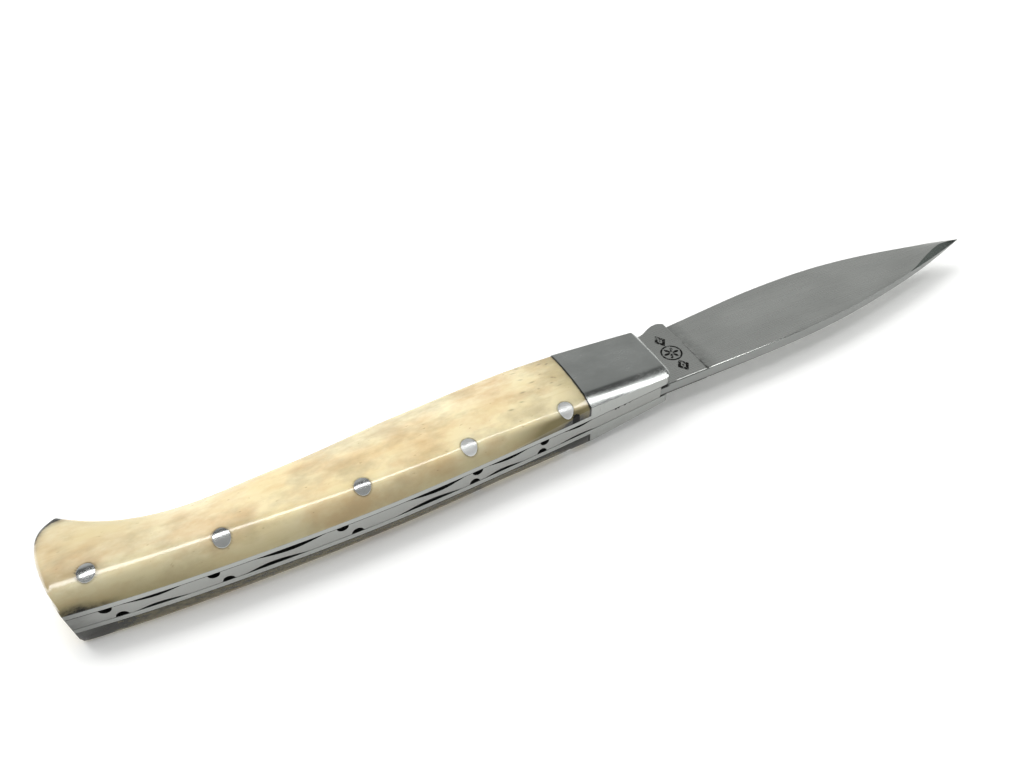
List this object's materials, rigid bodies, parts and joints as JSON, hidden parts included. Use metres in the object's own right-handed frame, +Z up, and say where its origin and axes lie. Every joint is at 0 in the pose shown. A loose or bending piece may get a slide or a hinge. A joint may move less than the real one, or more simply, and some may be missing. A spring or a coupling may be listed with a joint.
{
  "type": "folding whittling knife",
  "caption": "Slip-joint folding whittling knife, shown open: spear-point blade, tapered steel bolsters, bone scales with a beaked butt, and a back spring with filed edges.",
  "frame": {"origin": "centre of the underside of the bounding box, on the surface that the open knife lies on", "axes": "+X from the butt to the tip, +Y from the spine to the cutting edge, +Z up through the thickness of the handle"},
  "size_m": [0.211, 0.0232, 0.0126],
  "materials": {
    "blade_steel": "satin, fine lengthwise grind",
    "spring_steel": "brushed across, filed edges darkened",
    "liner_steel": "brushed",
    "bolster_steel": "satin",
    "pin_steel": "polished",
    "bone": "polished bone, cream with ochre mottling"
  },
  "bodies": {
    "handle": {"pivot_pin": "pin_steel", "liner_upper": "liner_steel", "liner_lower": "liner_steel", "bolster_upper": "bolster_steel", "bolster_lower": "bolster_steel", "scale_upper": "bone", "scale_lower": "bone", "butt_pin": "pin_steel", "rear_pin": "pin_steel", "spring_pin": "pin_steel", "front_rivet_upper": "pin_steel", "front_rivet_lower": "pin_steel", "bolster_rivet_upper": "pin_steel", "bolster_rivet_lower": "pin_steel"},
    "blade": {"blade": "blade_steel"},
    "back_spring": {"back_spring": "spring_steel"}
  },
  "joints": [
    {"name": "blade_fold", "type": "hinge", "parent": "handle", "child": "blade", "pos_m": [0.0057, 0.00213, 0.0063], "axis": [0, 0, 1], "range_deg": [0, 180]},
    {"name": "spring_flex", "type": "hinge", "parent": "handle", "child": "back_spring", "pos_m": [-0.0521, -0.00797, 0.0063], "axis": [0, 0, -1], "range_deg": [0, 1.2], "stiffness_Nm_per_rad": 0.3, "deforming": ["back_spring"]}
  ]
}
